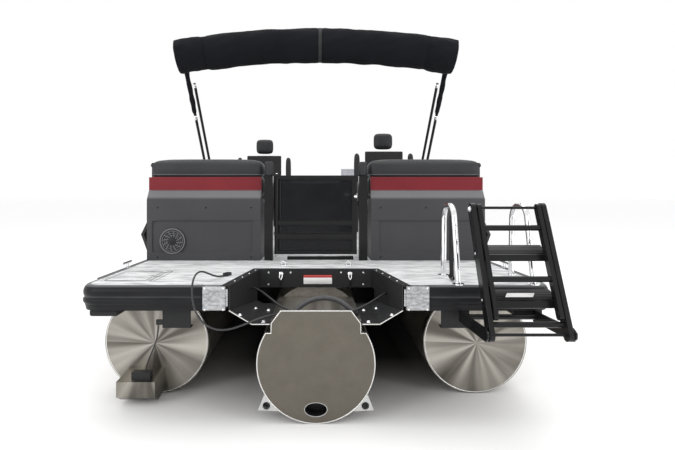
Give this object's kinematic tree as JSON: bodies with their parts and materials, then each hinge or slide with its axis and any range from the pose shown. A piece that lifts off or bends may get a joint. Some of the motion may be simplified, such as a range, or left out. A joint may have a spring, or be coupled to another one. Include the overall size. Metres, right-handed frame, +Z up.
{
  "type": "pontoon boat",
  "caption": "Triple-tube pontoon boat with aft-facing panels, stern gate, stowed bimini, boarding ladder, helm, swivel chairs and bow lounges",
  "frame": {"origin": "on the ground under the middle of the overall length and beam", "axes": "+X starboard, +Y bow, +Z up"},
  "size_m": [2.59, 7.388, 2.7047],
  "materials": {
    "tube_aluminium": "spun and brushed",
    "mill_aluminium": "mill finish",
    "black_metal": "satin black",
    "deck_board": "sealed board",
    "woven_vinyl": "woven, streaked",
    "black_rubber": "satin",
    "moulded_grey": "rotomoulded",
    "well_plastic": "textured black",
    "red_trim": "satin gloss",
    "seat_vinyl": "marine vinyl",
    "smoked_panel": "smoked acrylic",
    "clear_screen": "tinted acrylic",
    "fence_skin": "satin charcoal",
    "canvas": "acrylic canvas",
    "polished_steel": "polished",
    "cable_jacket": "matt",
    "black_plastic": "fine grain"
  },
  "bodies": {
    "hull": {"port_pontoon": "tube_aluminium", "starboard_pontoon": "tube_aluminium", "centre_pontoon": "tube_aluminium", "transom_plate": "mill_aluminium", "lifting_strakes": "mill_aluminium", "pontoon_brackets": "mill_aluminium", "crossmembers": "mill_aluminium", "deck_panel": "deck_board", "deck_flooring": "woven_vinyl", "deck_edge_rail": "black_metal", "stern_bumpers": "black_rubber", "bumper_end_caps": "mill_aluminium", "motor_well": "well_plastic", "stern_brackets": "black_metal", "deck_cleats": "polished_steel", "aft_seat_panels": "moulded_grey", "rear_speaker": "black_plastic", "aft_accent_bands": "red_trim", "aft_seat_bases": "moulded_grey", "aft_back_cushions": "seat_vinyl", "gate_posts": "black_metal", "starboard_fence": "fence_skin", "port_fence_aft": "fence_skin", "port_fence_forward": "fence_skin", "bow_lounge_bases": "moulded_grey", "bow_lounge_backs": "seat_vinyl", "helm_console": "moulded_grey", "console_windscreen": "clear_screen", "throttle_control": "black_plastic", "chair_pedestals": "mill_aluminium", "bimini_mounts": "polished_steel", "ladder_mount": "black_metal", "ladder_handrails": "polished_steel", "transducer_bracket": "mill_aluminium", "transducer": "black_plastic", "cable_glands": "black_plastic", "rigging_hose": "cable_jacket", "control_cable": "cable_jacket", "harness_cable": "cable_jacket", "harness_connector": "black_plastic", "transducer_cable": "cable_jacket"},
    "stern_gate": {"stern_gate_frame": "black_metal", "stern_gate_panel": "smoked_panel"},
    "side_gate": {"side_gate": "black_metal"},
    "bow_gate": {"bow_gate": "black_metal"},
    "platform_hatch": {"platform_hatch": "woven_vinyl"},
    "port_aft_seat": {"port_aft_seat_cushion": "seat_vinyl"},
    "starboard_aft_seat": {"starboard_aft_seat_cushion": "seat_vinyl"},
    "port_lounge_seat": {"port_lounge_cushion": "seat_vinyl"},
    "starboard_lounge_seat": {"starboard_lounge_cushion": "seat_vinyl"},
    "starboard_chair": {"starboard_chair_shell": "black_plastic", "starboard_chair_cushions": "seat_vinyl"},
    "port_chair": {"port_chair_shell": "black_plastic", "port_chair_cushions": "seat_vinyl"},
    "steering_wheel": {"steering_wheel": "black_plastic"},
    "bimini": {"bimini_main_bow": "black_metal", "bimini_boot": "canvas"},
    "bimini_struts": {"bimini_struts": "black_metal"},
    "ladder_main": {"ladder_main_section": "black_metal"},
    "ladder_fold": {"ladder_folding_section": "black_metal"}
  },
  "joints": [
    {"name": "stern_gate_swing", "type": "hinge", "parent": "hull", "child": "stern_gate", "pos_m": [-0.288, -2.26, 1.05], "axis": [0, 0, 1], "range_deg": [0, 95]},
    {"name": "side_gate_swing", "type": "hinge", "parent": "hull", "child": "side_gate", "pos_m": [-1.203, 0.903, 1.05], "axis": [0, 0, -1], "range_deg": [0, 95]},
    {"name": "bow_gate_swing", "type": "hinge", "parent": "hull", "child": "bow_gate", "pos_m": [-0.317, 3.469, 1.05], "axis": [0, 0, -1], "range_deg": [0, 95]},
    {"name": "hatch_lift", "type": "hinge", "parent": "hull", "child": "platform_hatch", "pos_m": [-0.928, -2.976, 0.716], "axis": [0, 1, 0], "range_deg": [0, 100]},
    {"name": "port_aft_seat_lift", "type": "hinge", "parent": "hull", "child": "port_aft_seat", "pos_m": [-0.784, -2.055, 1.165], "axis": [1, 0, 0], "range_deg": [0, 75]},
    {"name": "starboard_aft_seat_lift", "type": "hinge", "parent": "hull", "child": "starboard_aft_seat", "pos_m": [0.784, -2.055, 1.165], "axis": [1, 0, 0], "range_deg": [0, 75]},
    {"name": "port_lounge_seat_lift", "type": "hinge", "parent": "hull", "child": "port_lounge_seat", "pos_m": [-1.07, 2.4, 1.165], "axis": [0, -1, 0], "range_deg": [0, 75]},
    {"name": "starboard_lounge_seat_lift", "type": "hinge", "parent": "hull", "child": "starboard_lounge_seat", "pos_m": [1.07, 2.4, 1.165], "axis": [0, 1, 0], "range_deg": [0, 75]},
    {"name": "starboard_chair_swivel", "type": "hinge", "parent": "hull", "child": "starboard_chair", "pos_m": [0.74, -0.32, 1.01], "axis": [0, 0, 1], "range_deg": [-180, 180]},
    {"name": "port_chair_swivel", "type": "hinge", "parent": "hull", "child": "port_chair", "pos_m": [-0.624, 0.26, 1.01], "axis": [0, 0, 1], "range_deg": [-180, 180]},
    {"name": "steering", "type": "hinge", "parent": "hull", "child": "steering_wheel", "pos_m": [0.74, 0.525, 1.225], "axis": [0, -0.8137, 0.5812], "range_deg": [-540, 540]},
    {"name": "bimini_swing", "type": "hinge", "parent": "hull", "child": "bimini", "pos_m": [0, -0.46, 1.455], "axis": [1, 0, 0], "range_deg": [0, 30]},
    {"name": "bimini_strut_swing", "type": "hinge", "parent": "hull", "child": "bimini_struts", "pos_m": [0, -0.2, 1.455], "axis": [1, 0, 0], "range_deg": [0, 30]},
    {"name": "ladder_swing", "type": "hinge", "parent": "hull", "child": "ladder_main", "pos_m": [0.953, -3.658, 0.565], "axis": [1, 0, 0], "range_deg": [0, 165]},
    {"name": "ladder_unfold", "type": "hinge", "parent": "ladder_main", "child": "ladder_fold", "pos_m": [0.953, -3.41386, 1.12642], "axis": [-1, 0, 0], "range_deg": [0, 180]}
  ],
  "couplings": [
    {"joint": "bimini_strut_swing", "follows": "bimini_swing", "ratio": 1}
  ]
}
